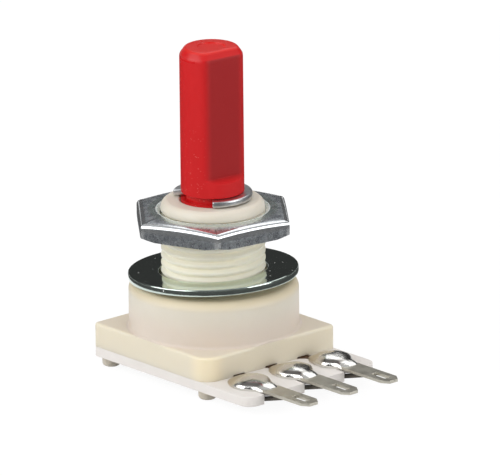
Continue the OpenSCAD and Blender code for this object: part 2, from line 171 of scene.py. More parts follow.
def finished(name, bm, limit=38):
    """Makes a smoothly shaded object, in metres, of a bmesh in millimetres. Edges that turn by
    more than a limit in degrees stay sharp."""
    bmesh.ops.scale(bm, vec=(MM, MM, MM), verts=bm.verts)
    piece = raw(name, bm)
    piece.data.shade_smooth()
    piece.data.set_sharp_from_angle(angle=radians(limit))
    weighted = piece.modifiers.new("flat faces stay flat", "WEIGHTED_NORMAL")
    weighted.keep_sharp = True
    return piece


def reopened(piece):
    """Takes the mesh of an object back into a bmesh, with its doubles merged."""
    bm = bmesh.new()
    bm.from_mesh(piece.data)
    bpy.data.objects.remove(piece)
    bmesh.ops.remove_doubles(bm, verts=bm.verts, dist=MERGE)
    return bm


def everything(bm):
    """All vertices, edges and faces of a bmesh."""
    return bm.verts[:] + bm.edges[:] + bm.faces[:]


def turn_about_z(bm, angle):
    """Turns a bmesh about the shaft's axis by an angle in radians."""
    bmesh.ops.rotate(bm, cent=(0, 0, 0), matrix=Matrix.Rotation(angle, 3, "Z"), verts=bm.verts)


def arc(centre_r, centre_z, radius, start, end, steps):
    """Points of an arc in a half section, from one angle to another in degrees."""
    angles = [radians(start + (end - start) * i / steps) for i in range(steps + 1)]
    return [(centre_r + radius * cos(angle), centre_z + radius * sin(angle)) for angle in angles]


def turned(points, steps, closed=False, pitch=0.0):
    """Turns a half section of (radius, height) points once about Z. A closed section makes a ring,
    and a pitch makes a screw surface."""
    bm = bmesh.new()
    chain = [bm.verts.new((r, 0, z)) for r, z in points]
    following = chain[1:] + (chain[:1] if closed else [])
    links = [bm.edges.new(pair) for pair in zip(chain, following)]
    bmesh.ops.spin(
        bm,
        geom=chain + links,
        cent=(0, 0, 0),
        axis=(0, 0, 1),
        dvec=(0, 0, pitch / steps),
        angle=2 * pi,
        steps=steps,
        use_merge=not pitch,
    )
    bmesh.ops.remove_doubles(bm, verts=bm.verts, dist=MERGE)
    bmesh.ops.recalc_face_normals(bm, faces=bm.faces)
    return bm


def lathe(points, steps=128, centre=(0, 0)):
    """A closed body of a half section that starts and ends on the axis."""
    bm = turned(points, steps)
    bmesh.ops.translate(bm, vec=(*centre, 0), verts=bm.verts)
    return bm


def block(low, high):
    """A cuboid between two corners."""
    bm = bmesh.new()
    bmesh.ops.create_cube(bm, size=1)
    low, high = Vector(low), Vector(high)
    bmesh.ops.scale(bm, vec=high - low, verts=bm.verts)
    bmesh.ops.translate(bm, vec=(low + high) / 2, verts=bm.verts)
    return bm


def bevel(bm, edges, width, segments):
    """Rounds edges of a bmesh."""
    bmesh.ops.bevel(
        bm,
        geom=edges,
        offset=width,
        offset_type="OFFSET",
        segments=segments,
        profile=0.5,
        affect="EDGES",
        material=-1,
        clamp_overlap=True,
    )


def sharp_edges(bm, turn):
    """Edges where the surface turns by more than an angle in degrees."""
    return [e for e in bm.edges if e.is_manifold and e.calc_face_angle() > radians(turn)]


def combine(base, others, operation):
    """Joins closed bodies to a base, or cuts them from it, and gives the base that mesh."""
    for other in others:
        step = base.modifiers.new(operation.lower(), "BOOLEAN")
        step.operation = operation
        step.solver = "MANIFOLD"
        step.object = other
    bpy.context.view_layer.update()
    result = bpy.data.meshes.new_from_object(base.evaluated_get(bpy.context.evaluated_depsgraph_get()))
    base.modifiers.clear()
    base.data = result
    for other in others:
        bpy.data.objects.remove(other)
    return base


def rounded_copy(node, name, width, segments):
    """A merged copy of a solid's mesh, with its edges rounded, which stands for that solid."""
    bm = bmesh.new()
    bm.from_mesh(NODES[node].data)
    bmesh.ops.scale(bm, vec=(1 / MM, 1 / MM, 1 / MM), verts=bm.verts)
    bmesh.ops.remove_doubles(bm, verts=bm.verts, dist=MERGE)
    bmesh.ops.dissolve_limit(bm, angle_limit=radians(0.5), verts=bm.verts, edges=bm.edges)
    bevel(bm, sharp_edges(bm, 30), width, segments)
    piece = finished(name, bm)
    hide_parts(node)
    return piece


# Shader maths

def srgb(red, green, blue):
    """A colour given as the eye sees it, 0 to 255, in the linear values that shaders use."""
    parts = [c / 255 for c in (red, green, blue)]
    return tuple(c / 12.92 if c < 0.04045 else ((c + 0.055) / 1.055) ** 2.4 for c in parts) + (1.0,)


class Value:
    """The output of a node, which takes part in Python expressions."""

    def __init__(self, wiring, socket):
        self.wiring = wiring
        self.socket = socket

    def maths(self, operation, *values):
        """A Math node of the values."""
        return self.wiring.node("ShaderNodeMath", {"operation": operation}, dict(enumerate(values)))

    def __add__(self, other):
        return self.maths("ADD", self, other)

    def __radd__(self, other):
        return self.maths("ADD", other, self)

    def __sub__(self, other):
        return self.maths("SUBTRACT", self, other)

    def __rsub__(self, other):
        return self.maths("SUBTRACT", other, self)

    def __mul__(self, other):
        return self.maths("MULTIPLY", self, other)

    def __rmul__(self, other):
        return self.maths("MULTIPLY", other, self)

    def __abs__(self):
        return self.maths("ABSOLUTE", self)

    def root(self):
        """The square root of this value."""
        return self.maths("SQRT", self)

    def least(self, *others):
        """The smallest of this value and others."""
        result = self
        for other in others:
            result = self.maths("MINIMUM", result, other)
        return result

    def most(self, *others):
        """The largest of this value and others."""
        result = self
        for other in others:
            result = self.maths("MAXIMUM", result, other)
        return result


class Wiring:
    """A node tree, to which one method adds nodes."""

    def __init__(self, tree):
        self.tree = tree

    def node(self, kind, settings=None, inputs=None, output=0):
        """Adds a node: its settings first, then the values or links of its sockets."""
        node = self.tree.nodes.new(kind)
        for key, value in (settings or {}).items():
            if key == "stops":
                ramp = node.color_ramp
                while len(ramp.elements) < len(value):
                    ramp.elements.new(1.0)
                for element, (position, colour) in zip(ramp.elements, value):
                    element.position = position
                    element.color = colour
            else:
                setattr(node, key, value)
        for key, value in (inputs or {}).items():
            if isinstance(value, Value):
                self.tree.links.new(value.socket, node.inputs[key])
            else:
                node.inputs[key].default_value = value
        return Value(self, node.outputs[output])

    def end(self, name, socket, value):
        """Links a value to a socket of a node that the tree starts with."""
        self.tree.links.new(value.socket, self.tree.nodes[name].inputs[socket])


class Paint(Wiring):
    """A material whose shader is fed by expressions. Patterns are in millimetres on the object."""

    def __init__(self, name, slot, **fixed):
        self.slot = slot
        self.material = bpy.data.materials.new(name)
        self.material.use_nodes = True
        super().__init__(self.material.node_tree)
        self.shader = self.tree.nodes["Principled BSDF"]
        for key, value in fixed.items():
            self.shader.inputs[key.replace("_", " ")].default_value = value
        coordinates = self.node("ShaderNodeTexCoord", output="Object")
        scaled = {"Vector": coordinates, "Scale": 1 / MM}
        self.place = self.node("ShaderNodeVectorMath", {"operation": "SCALE"}, scaled)

    def axes(self):
        """The three object coordinates in millimetres."""
        return [self.node("ShaderNodeSeparateXYZ", None, {0: self.place}, output=i) for i in range(3)]

    def noise(self, size, detail=2.0, roughness=0.5, stretch=(1, 1, 1), distortion=0.0):
        """Soft noise from 0 to 1 whose blots are about a size in millimetres."""
        spread = {0: self.place, 1: [1 / s for s in stretch]}
        pattern = {
            "Vector": self.node("ShaderNodeVectorMath", {"operation": "MULTIPLY"}, spread),
            "Scale": 1 / size,
            "Detail": detail,
            "Roughness": roughness,
            "Distortion": distortion,
        }
        return self.node("ShaderNodeTexNoise", None, pattern)

    def grains(self, size, full, none):
        """Dots in cells of a size in millimetres: full within one share of it, and none past another."""
        pattern = {"Vector": self.place, "Scale": 1 / size}
        return self.between(self.node("ShaderNodeTexVoronoi", {"feature": "F1"}, pattern), none, full)

    def between(self, value, start, end):
        """Goes smoothly from 0 at a start value to 1 at an end value, which may be the lower one."""
        limits = {"Value": value, "From Min": start, "From Max": end}
        return self.node("ShaderNodeMapRange", {"interpolation_type": "SMOOTHSTEP"}, limits)

    def blend(self, factor, first, second):
        """Goes from a first colour to a second one by a factor."""
        colours = {0: factor, 6: first, 7: second}
        return self.node("ShaderNodeMix", {"data_type": "RGBA"}, colours, output=2)

    def over(self, base, *layers):
        """Lays colours over a base, each where its own mask says."""
        for mask, colour in layers:
            base = self.blend(mask, base, colour)
        return base

    def feed(self, socket, value):
        """Links a varying value to a socket of the shader."""
        self.tree.links.new(value.socket, self.shader.inputs[socket])

    def bump(self, height, depth):
        """Bumps the surface by a height from 0 to 1 over a depth in millimetres."""
        raised = {"Height": height, "Distance": depth * MM, "Strength": 1.0}
        self.feed("Normal", self.node("ShaderNodeBump", None, raised))

    def on(self, *targets):
        """Gives this finish to new pieces and to solids that stay."""
        for target in targets:
            target.data.materials.clear()
            target.data.materials.append(self.material)


# Finishes

def ivory_plastic():
    """Ivory that is a little pink on the drum and yellower on the flange. Painted shadow makes it amber
    under the washer, a painted glow lightens the flange's front corner, painted light brightens the
    thread, and painted shade darkens the peg heads.
    """
    paint = Paint("ivory moulding", "ivory_plastic", Subsurface_Weight=0.35, Subsurface_Scale=0.0015,
                  Subsurface_Radius=(1.0, 0.9, 0.7), IOR=1.46)
    x, y, z = paint.axes()
    clouds = paint.noise(3.2, 3)
    drum_wall = paint.between(z, -1.2, -3.6)
    flange_low = paint.between(z, DRUM_BASE_Z + 0.02, DRUM_BASE_Z - 0.02)
    # Painted glow: the flange's front corner is lighter and warmer, as if light shone through it
    corner_glow = flange_low * paint.between(x + y, -13.4, -15.4)
    # Painted shadow: amber on the drum's top, where the washer shades it
    washer_shadow = paint.between(z, -1.1, -0.3) * paint.between(z, 0.25, 0.05)
    # Painted light: the thread between washer and nut is lightened, though the nut shades it
    thread = paint.between(z, 0.1, 0.4) * paint.between(z, 7.0, 6.4)
    # Painted shade: the peg heads under the plate are greyer and darker
    peg_heads_shade = paint.between(z, PLATE_BOTTOM_Z + 0.2, PLATE_BOTTOM_Z - 0.3)
    colour = paint.over(
        paint.blend(clouds, srgb(212, 205, 190), srgb(220, 214, 201)),
        (drum_wall * 0.55, srgb(214, 197, 184)),
        (flange_low * 0.8, srgb(222, 214, 192)),
        (corner_glow * 0.55, srgb(242, 226, 190)),
        (washer_shadow * 0.5, srgb(212, 194, 152)),
        (thread, srgb(245, 240, 222)),
        (peg_heads_shade * 0.85, srgb(190, 182, 170)),
    )
    paint.feed("Base Color", colour)
    paint.feed("Roughness", 0.36 + 0.16 * clouds)
    paint.bump(paint.noise(0.16, 3), 0.012)
    return paint


def white_ceramic():
    """Fine-grained white ceramic, with painted brown shade where it runs into the housing's slots."""
    paint = Paint("white ceramic", "white_ceramic")
    x, y, z = paint.axes()
    grain = paint.noise(0.12, 4, 0.7)
    white = paint.blend(paint.noise(2.0, 2), srgb(220, 214, 209), srgb(230, 226, 222))
    # Painted shade: brown on the plate's top inside the housing's slots
    beside = [abs(x - place) for place in SLOT_XS]
    in_slot = paint.between(beside[0].least(*beside[1:]), SLOT_W / 2 + 0.2, SLOT_W / 2)
    along_slot = paint.between(y, -8.25, -8.1) * paint.between(y, -5.0, -5.4)
    on_top = paint.between(z, PLATE_TOP_Z - 0.1, PLATE_TOP_Z - 0.02)
    paint.feed("Base Color", paint.over(white, (along_slot * in_slot * on_top, srgb(96, 68, 46))))
    paint.feed("Roughness", 0.5 + 0.2 * grain)
    paint.bump(grain, 0.015)
    return paint


def red_plastic():
    """Red moulding with painted shade that deepens the flat and painted light on the end face, and with
    dust caught in the surface low on its left.
    """
    paint = Paint("red moulding", "red_plastic", Subsurface_Weight=0.08, Subsurface_Scale=0.0006,
                  Specular_IOR_Level=0.32)
    x, y, z = paint.axes()
    clouds = paint.noise(2.4, 2, stretch=(1, 1, 2.5))
    grain = paint.noise(0.14, 3)
    turn = radians(SHAFT_TURN)
    outward = sin(turn) * x - cos(turn) * y
    across = abs(cos(turn) * x + sin(turn) * y)
    on_flat = paint.between(outward, 1.4, 2.1) * paint.between(across, 2.5, 1.35)
    above_shoulder = paint.between(z, SHOULDER_Z, FLAT_START + 0.4)
    end_bevel = paint.between(z, SHAFT_TOP - 0.75, SHAFT_TOP - 0.55)
    # Painted light: the end face is a lighter red, as if lit from above
    lit_end_face = paint.between(z, SHAFT_TOP - 0.25, SHAFT_TOP - 0.1)
    specks = paint.grains(0.24, 0.1, 0.22) * paint.between(paint.noise(0.5), 0.46, 0.58)
    left_side = paint.between(y, -1.9, -1.3) * paint.between(y, 0.9, 0.3) * paint.between(x, 0, -1)
    dust = specks * left_side * paint.between(z, 17.0, 13.2)
    colour = paint.over(
        paint.blend(clouds, srgb(192, 18, 22), srgb(203, 25, 28)),
        # Painted shade: the flat is a deeper red
        (on_flat * above_shoulder, srgb(154, 9, 14)),
        (end_bevel, srgb(198, 24, 26)),
        (lit_end_face, srgb(210, 42, 38)),
        (dust * 0.55, srgb(236, 150, 140)),
    )
    shoulder = on_flat * paint.between(z, FLAT_START + 0.6, FLAT_START + 0.4)
    bevel_foot = paint.between(z, SHAFT_TOP - 1.05, SHAFT_TOP - 0.9)
    bevel_foot = bevel_foot * paint.between(z, SHAFT_TOP - 0.6, SHAFT_TOP - 0.75)
    bevel_foot = bevel_foot * paint.between(outward, 1.5, 1.0)
    paint.feed("Base Color", colour)
    paint.feed("Roughness", 0.28 + 0.16 * grain + 0.2 * on_flat + 0.1 * shoulder - 0.18 * bevel_foot)
    paint.bump(grain, 0.012)
    return paint


def bright_plate():
    """Bright green-grey plating with a few grains of dust."""
    paint = Paint("bright plating", "bright_plate")
    haze = paint.noise(1.6, 3)
    dust = paint.grains(1.1, 0.04, 0.07)
    plating = paint.blend(haze, srgb(200, 213, 206), srgb(216, 228, 221))
    paint.feed("Base Color", paint.over(plating, (dust, srgb(245, 245, 245))))
    paint.feed("Metallic", 1.0 - dust)
    paint.feed("Roughness", 0.05 + 0.08 * haze + 0.6 * dust)
    paint.bump(paint.noise(0.35, 2), 0.003)
    return paint


def zinc_plate():
    """Mottled blue-grey plating. Its burnished top edges carry a painted highlight, as do its upright
    corners; painted shade darkens the low sides, and a painted reflection of the bush makes it pale near
    the bore and pale and speckled on the bevel of the bore.
    """
    paint = Paint("zinc plating", "zinc_plate")
    x, y, z = paint.axes()
    reach = (x * x + y * y).root()
    turns = [radians(NUT_TURN + 30 + 60 * i) for i in range(3)]
    sides = [abs(cos(turn) * x + sin(turn) * y) for turn in turns]
    outward = sides[0].most(*sides[1:])
    spangle = paint.noise(0.6, 4, 0.6, distortion=0.4)
    fine = paint.noise(0.12, 3)
    top_edge = paint.between(outward, NUT_HALF - 0.55, NUT_HALF - 0.4)
    top_edge = top_edge * paint.between(z, NUT_TOP_Z - 1.1, NUT_TOP_Z - 0.8)
    # Painted shade: the sides are darker low down
    foot = paint.between(outward, NUT_HALF - 0.1, NUT_HALF - 0.03)
    foot = foot * paint.between(z, NUT_TOP_Z - 0.7, NUT_TOP_Z - 1.4)
    # Painted reflection: pale green near the bore, where the bush is mirrored
    near_bore = paint.between(reach, 6.3, 5.9) * paint.between(z, NUT_TOP_Z - 0.1, NUT_TOP_Z - 0.02)
    bore_bevel = paint.between(reach, 5.44, 5.36)
    bore_bevel = bore_bevel * paint.between(z, NUT_TOP_Z - NUT_BORE_BEVEL - 0.05, NUT_TOP_Z - NUT_BORE_BEVEL)
    # Painted highlight: the upright corners are lighter
    corner = paint.between(reach, NUT_HALF + 0.85, NUT_HALF + 0.98)
    # Polished top edges, whose lighter colour is also a painted highlight
    polished = paint.blend(spangle, srgb(188, 192, 196), srgb(236, 239, 240))
    foot_shade = paint.blend(paint.between(fine, 0.45, 0.6), srgb(132, 136, 142), srgb(196, 200, 204))
    # Painted reflection of the bush: the bore's bevel is pale, speckled and less metallic
    speckled = paint.blend(paint.between(fine, 0.42, 0.52), srgb(150, 172, 168), srgb(252, 254, 253))
    colour = paint.over(
        paint.blend(paint.between(spangle, 0.25, 0.75), srgb(160, 166, 174), srgb(206, 212, 215)),
        (top_edge, polished),
        (foot * 0.7, foot_shade),
        (near_bore * 0.6, srgb(214, 228, 222)),
        (bore_bevel, speckled),
        (corner * 0.8, srgb(238, 241, 242)),
    )
    roughness = (0.2 + 0.16 * spangle + 0.16 * bore_bevel) * (1.0 - 0.5 * top_edge) - 0.06 * near_bore
    paint.feed("Base Color", colour)
    paint.feed("Metallic", 0.88 - 0.5 * bore_bevel)
    paint.feed("Roughness", roughness)
    paint.bump((spangle * 0.4 + fine * 0.6) * (1.0 - 0.9 * top_edge), 0.012)
    return paint


def ring_steel():
    """Finely mottled steel wire."""
    paint = Paint("ring steel", "ring_steel", Metallic=1.0)
    mottle = paint.noise(0.3, 3)
    paint.feed("Base Color", paint.blend(mottle, srgb(196, 199, 202), srgb(230, 232, 233)))
    paint.feed("Roughness", 0.24 + 0.12 * mottle)
    paint.bump(mottle, 0.003)
    return paint


def tinned_sheet():
    """Dull tin, with painted shade on the legs under the plate."""
    paint = Paint("tinned sheet", "tinned_sheet")
    height = paint.axes()[2]
    haze = paint.noise(0.8, 3)
    # Painted shade: the legs under the plate are dark, less metallic and rougher
    leg_shade = paint.between(height, PLATE_TOP_Z - 0.02, PLATE_TOP_Z - 0.2)
    tin = paint.blend(haze, srgb(172, 168, 156), srgb(206, 203, 192))
    paint.feed("Base Color", paint.over(tin, (leg_shade * 0.9, srgb(58, 50, 42))))
    paint.feed("Metallic", 1.0 - 0.6 * leg_shade)
    paint.feed("Roughness", 0.28 + 0.2 * haze + 0.2 * leg_shade)
    paint.bump(paint.noise(0.25, 3, stretch=(1, 6, 1)), 0.008)
    return paint


def solder():
    """Bright solder with small pits, dulled by flux at the back, and with a painted dark reflection in a
    band round its front.
    """
    paint = Paint("solder", "solder", Metallic=1.0)
    along, height = paint.axes()[1:]
    haze = paint.noise(0.7, 3)
    flux = paint.between(along, -11.4, -10.0)
    pits = paint.grains(2.6, 0.03, 0.05)
    level = height + 0.1 * paint.noise(0.9, 2)
    # Painted reflection: a dark band round the front, where the dark surroundings are mirrored
    dark_band = paint.between(level, PLATE_TOP_Z + 0.5, PLATE_TOP_Z + 0.58)
    dark_band = dark_band * paint.between(level, PLATE_TOP_Z + 0.88, PLATE_TOP_Z + 0.74)
    dark_band = dark_band * paint.between(along, -13.4, -12.9) * paint.between(along, -11.1, -11.7)
    colour = paint.over(
        paint.blend(haze, srgb(206, 204, 198), srgb(238, 238, 236)),
        (flux * 0.8, srgb(196, 184, 164)),
        (dark_band * 0.8, srgb(84, 77, 72)),
        (pits * 0.7, srgb(70, 60, 50)),
    )
    paint.feed("Base Color", colour)
    paint.feed("Roughness", 0.13 + 0.1 * haze + 0.2 * flux)
    paint.bump(paint.noise(0.5, 3) - pits, 0.03)
    return paint


def resistive_film():
    """Dark grey carbon film with a fine grain."""
    paint = Paint("carbon film", "resistive_film")
    grain = paint.noise(0.08, 3)
    paint.feed("Base Color", paint.blend(grain, srgb(38, 36, 36), srgb(58, 55, 54)))
    paint.feed("Roughness", 0.4 + 0.2 * grain)
    return paint


def silver_film():
    """Silver film, with painted brown shade where the leads come out of the housing."""
    paint = Paint("silver film", "silver_film")
    along = paint.axes()[1]
    grain = paint.noise(0.08, 3)
    # Painted shade: brown and less metallic where the leads lie in the housing's slots
    flux = paint.between(along, -7.2, -7.5)
    silver = paint.blend(grain, srgb(190, 188, 182), srgb(216, 214, 208))
    paint.feed("Base Color", paint.over(silver, (flux, srgb(84, 58, 40))))
    paint.feed("Metallic", 1.0 - 0.9 * flux)
    paint.feed("Roughness", 0.35 + 0.2 * grain)
    return paint


def spring_alloy():
    """Bronze strip with streaks across it."""
    paint = Paint("spring bronze", "spring_alloy", Metallic=1.0)
    streaks = paint.noise(0.2, 3, stretch=(5, 1, 1))
    paint.feed("Base Color", paint.blend(streaks, srgb(200, 170, 110), srgb(222, 196, 138)))
    paint.feed("Roughness", 0.25 + 0.15 * streaks)
    return paint


# Housing

def bush_radius(height, radius):
    """Radius of the bush at a height: the thread runs out under the nut's top, and the end is round.
    The screw surface that comes in is cut to a depth of 1 mm."""
    fade = clamp((THREAD_END_Z - height) / THREAD_FADE_H)
    depth = (THREAD_CREST_R - radius) * (THREAD_CREST_R - THREAD_ROOT_R) * fade
    above = max(height - (BUSH_LEN - BUSH_ROUND_H), 0) / BUSH_ROUND_H
    # A little less than the whole quarter of the round, so that its last step isn't upright
    round_end = BUSH_ROUND * (1 - sqrt(1 - 0.98 * above * above))
    return min(THREAD_CREST_R - depth, THREAD_CREST_R - round_end)


def threaded_bush():
    """The bush as one screw surface, cut flat at both ends."""
    # The surface starts below the bush and ends above it
    turns = 13
    bottom = -1.6
    steps = 96
    # One pitch of the thread: share of the pitch and share of the depth
    form = ((0.0, 0.0), (0.1, 0.0), (0.22, 0.3), (0.34, 0.75), (0.42, 1.0), (0.58, 1.0), (0.66, 0.75),
            (0.78, 0.3), (0.9, 0.0))
    section = [
        (THREAD_CREST_R - depth, bottom + (turn + along) * THREAD_PITCH)
        for turn in range(turns)
        for along, depth in form
    ]
    section.append((THREAD_CREST_R, bottom + turns * THREAD_PITCH))
    bm = turned(section, steps, pitch=THREAD_PITCH)
    for height, side in ((BUSH_FOOT_Z, -1), (BUSH_LEN, 1)):
        cut = bmesh.ops.bisect_plane(
            bm, geom=everything(bm), plane_co=(0, 0, height), plane_no=(0, 0, side), clear_outer=True
        )
        rim = [e for e in cut["geom_cut"] if isinstance(e, bmesh.types.BMEdge)]
        bmesh.ops.contextual_create(bm, geom=rim)
    for vert in bm.verts:
        reach = vert.co.xy.length
        share = bush_radius(vert.co.z, reach) / reach
        vert.co.x *= share
        vert.co.y *= share
    bmesh.ops.recalc_face_normals(bm, faces=bm.faces)
    return raw("bush", bm)


def flange():
    """The square flange with a soft upper edge. Its corner on the left in front is rounder."""
    half = FLANGE_W / 2
    bm = block((-half, -half, PLATE_TOP_Z), (half, half, DRUM_BASE_Z))
    for radius, segments, in_front in ((FLANGE_CORNER_R, 6, False), (FRONT_CORNER_R, 10, True)):
        upright = [e for e in bm.edges if abs(e.verts[0].co.z - e.verts[1].co.z) > 1]
        # Only the corner on the left in front has both coordinates below zero
        corners = [e for e in upright if (max(e.verts[0].co.xy) < 0) == in_front]
        bevel(bm, corners, radius, segments)
    upper = [e for e in bm.edges if all(v.co.z > DRUM_BASE_Z - 0.01 for v in e.verts)]
    bevel(bm, upper, FLANGE_EDGE_R, 5)
    return raw("flange", bm)


def drum():
    """The round drum, with its rounded upper edge and a small fillet where it stands on the flange."""
    foot_r = DRUM_R + DRUM_FILLET_R
    foot_z = DRUM_BASE_Z - 0.4
    points = [(0, 0)]
    points += arc(DRUM_R - DRUM_EDGE_R, -DRUM_EDGE_R, DRUM_EDGE_R, 90, 0, 10)
    points += arc(foot_r, DRUM_BASE_Z + DRUM_FILLET_R, DRUM_FILLET_R, 180, 270, 5)
    points += [(foot_r, foot_z), (0, foot_z)]
    # The fillet ends at the flange's sides, which the drum almost reaches
    half = FLANGE_W / 2
    sides = raw("sides", block((-half, -half, -9), (half, half, 1)))
    return combine(raw("drum", lathe(points)), [sides], "INTERSECT")


def staked_peg(x, y):
    """A peg and its spread head under the plate, which narrows a little where it meets the plate."""
    points = [
        (0, PLATE_TOP_Z + OVERLAP),
        (PEG_R, PLATE_TOP_Z + OVERLAP),
        (PEG_R, PLATE_BOTTOM_Z),
        (PEG_HEAD_R - 0.05, PLATE_BOTTOM_Z),
        (PEG_HEAD_R, PLATE_BOTTOM_Z - 0.06),
    ]
    points += arc(PEG_HEAD_R - PEG_HEAD_EDGE_R, FOOT_Z + PEG_HEAD_EDGE_R, PEG_HEAD_EDGE_R, 0, -90, 5)
    points += [(0, FOOT_Z)]
    return raw("peg", lathe(points, 32, (x, y)))


def stop_rib():
    """The rib inside the drum that stops the shaft's lug. It narrows towards the axis."""
    bm = block((-1, -CAVITY_R - 0.3, ROOF_Z - STOP_H), (1, -STOP_INNER_R, ROOF_Z + OVERLAP))
    for vert in bm.verts:
        vert.co.x = side_of(vert.co.x) * -vert.co.y * sin(radians(STOP_ANGLE / 2))
    return raw("rib", bm)


def moulded_housing():
    """Drum, flange, bush, rib and pegs as the one moulding that they are."""
    piece = combine(drum(), [flange(), threaded_bush()], "UNION")
    below = PLATE_TOP_Z - 1
    above = BUSH_LEN + BORE_MOUTH
    cavity = [(0, below), (CAVITY_R, below), (CAVITY_R, ROOF_Z), (0, ROOF_Z)]
    bore = [(0, ROOF_Z - 1), (BORE_R, ROOF_Z - 1), (BORE_R, BUSH_LEN - BORE_MOUTH),
            (BORE_R + 2 * BORE_MOUTH, above), (0, above)]
    hollows = [raw("cavity", lathe(cavity)), raw("bore", lathe(bore))]
    for x in SLOT_XS:
        low = (x - SLOT_W / 2, -FLANGE_W / 2 - 1, below)
        high = (x + SLOT_W / 2, SLOT_END_Y, PLATE_TOP_Z + SLOT_H)
        hollows.append(raw("slot", block(low, high)))
    combine(piece, hollows, "DIFFERENCE")
    pegs = [staked_peg(x, y) for x in (-PEG_POS, PEG_POS) for y in (-PEG_POS, PEG_POS)]
    combine(piece, pegs + [stop_rib()], "UNION")
    piece = finished("moulded_housing", reopened(piece), 32)
    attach(piece, "case")
    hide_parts("housing")
    return piece


# Base plate

def tighten_back_corners(piece):
    """Gives the plate's two round corners behind the flange's smaller radius."""
    middle = FLANGE_W / 2 - FRONT_CORNER_R
    start = FLANGE_W / 2 - FLANGE_CORNER_R
    share = FLANGE_CORNER_R / FRONT_CORNER_R
    # The holes of the pegs lie nearer to a corner's middle than its round edge
    nearest = FRONT_CORNER_R - 0.3
    for vert in piece.data.vertices:
        across, along = abs(vert.co.x) / MM - middle, vert.co.y / MM - middle
        if across > 0 and along > 0 and sqrt(across ** 2 + along ** 2) > nearest:
            vert.co.x = (start + across * share) * MM * side_of(vert.co.x)
            vert.co.y = (start + along * share) * MM


# Solder

def mound_place(u, v, w, lean, seed):
    """Where a point of a unit half ball goes on the mound, measured from the mound's middle on the
    plate: u is across the tag, v along it and w up."""
    swell = 1 + 0.04 * noise.noise(Vector((1.8 * u, 1.8 * v, seed)))
    front, back = clamp(-v, 0, 0.999), clamp(v, 0, 0.999)
    # Height of the ball over this row of points, and how much blunter the mound is in front
    row = sqrt(1 - front * front - back * back)
    blunt = sqrt(1 - front ** 8)
    share = min(w / row, 1)
    steep = max(1 - share * share, 1e-6) ** -0.12
    tucked = 1 - 0.04 * max(1 - share / 0.2, 0)
    u *= (blunt / row if front else 1) * swell * steep * tucked
    pinch = clamp((front - 0.1) / 0.5)
    width = SOLDER_HALF_W * (1 - 0.4 * pinch * pinch * (3 - 2 * pinch)) * (1 + lean * u)
    ridge = (1 - 0.52 * front ** 1.5) * blunt * row ** (0.9 if back else 0) * (1 - 0.6 * back ** 2)
    lump = 0.05 * share * noise.noise(Vector((u * 1.6, v * 1.6, seed + 5)))
    return Vector((u * width, v * SOLDER_HALF_LEN, SOLDER_H * share ** 0.9 * ridge + lump))


def solder_mound(name, node, x, lean, seed):
    """A drop that stands steep on the plate, covers a tag's root and runs out along its strip."""
    bm = bmesh.new()
    bmesh.ops.create_uvsphere(bm, u_segments=96, v_segments=48, radius=1)
    bmesh.ops.bisect_plane(
        bm, geom=everything(bm), plane_co=(0, 0, 0), plane_no=(0, 0, -1), clear_outer=True
    )
    bmesh.ops.contextual_create(bm, geom=[e for e in bm.edges if e.is_boundary])
    middle = Vector((x, SOLDER_Y, PLATE_TOP_Z))
    for vert in bm.verts:
        vert.co = middle + mound_place(*vert.co, lean, seed)
    bmesh.ops.recalc_face_normals(bm, faces=bm.faces)
    piece = finished(name, bm, 60)
    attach(piece, "case")
    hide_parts(node)
    return piece


# Washer

def leaning_washer():
    """The washer, which lies on the drum behind and is lifted in front."""
    top, foot = WASHER_TOP_EDGE_R, WASHER_FOOT_EDGE_R
    section = (
        arc(DRUM_R - foot, foot, foot, -90, 0, 4)
        + arc(DRUM_R - top, WASHER_T - top, top, 0, 90, 4)
        + arc(WASHER_HOLE_R + top, WASHER_T - top, top, 90, 180, 4)
        + arc(WASHER_HOLE_R + foot, foot, foot, 180, 270, 4)
    )
    bm = turned(section, 192, closed=True)
    lean = Matrix.Rotation(radians(-WASHER_TILT), 3, "X")
    bmesh.ops.rotate(bm, cent=(0, DRUM_R - DRUM_EDGE_R, 0), matrix=lean, verts=bm.verts)
    piece = finished("washer", bm)
    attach(piece, "case")
    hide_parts("flat_washer")
    return piece


# Nut

def hexagon_bar(foot_z):
    """The bar that the nut is turned from, with its flats at the nut's turn."""
    corner = NUT_HALF / cos(pi / 6)
    bm = bmesh.new()
    bmesh.ops.create_cone(bm, cap_ends=True, segments=6, radius1=corner, radius2=corner, depth=NUT_T)
    # The operator's first corner may lie on either axis, so its angle is measured
    first = bm.verts[:][0].co
    turn_about_z(bm, radians(NUT_TURN) - atan2(first.y, first.x))
    bmesh.ops.translate(bm, vec=(0, 0, foot_z + NUT_T / 2), verts=bm.verts)
    return raw("nut", bm)


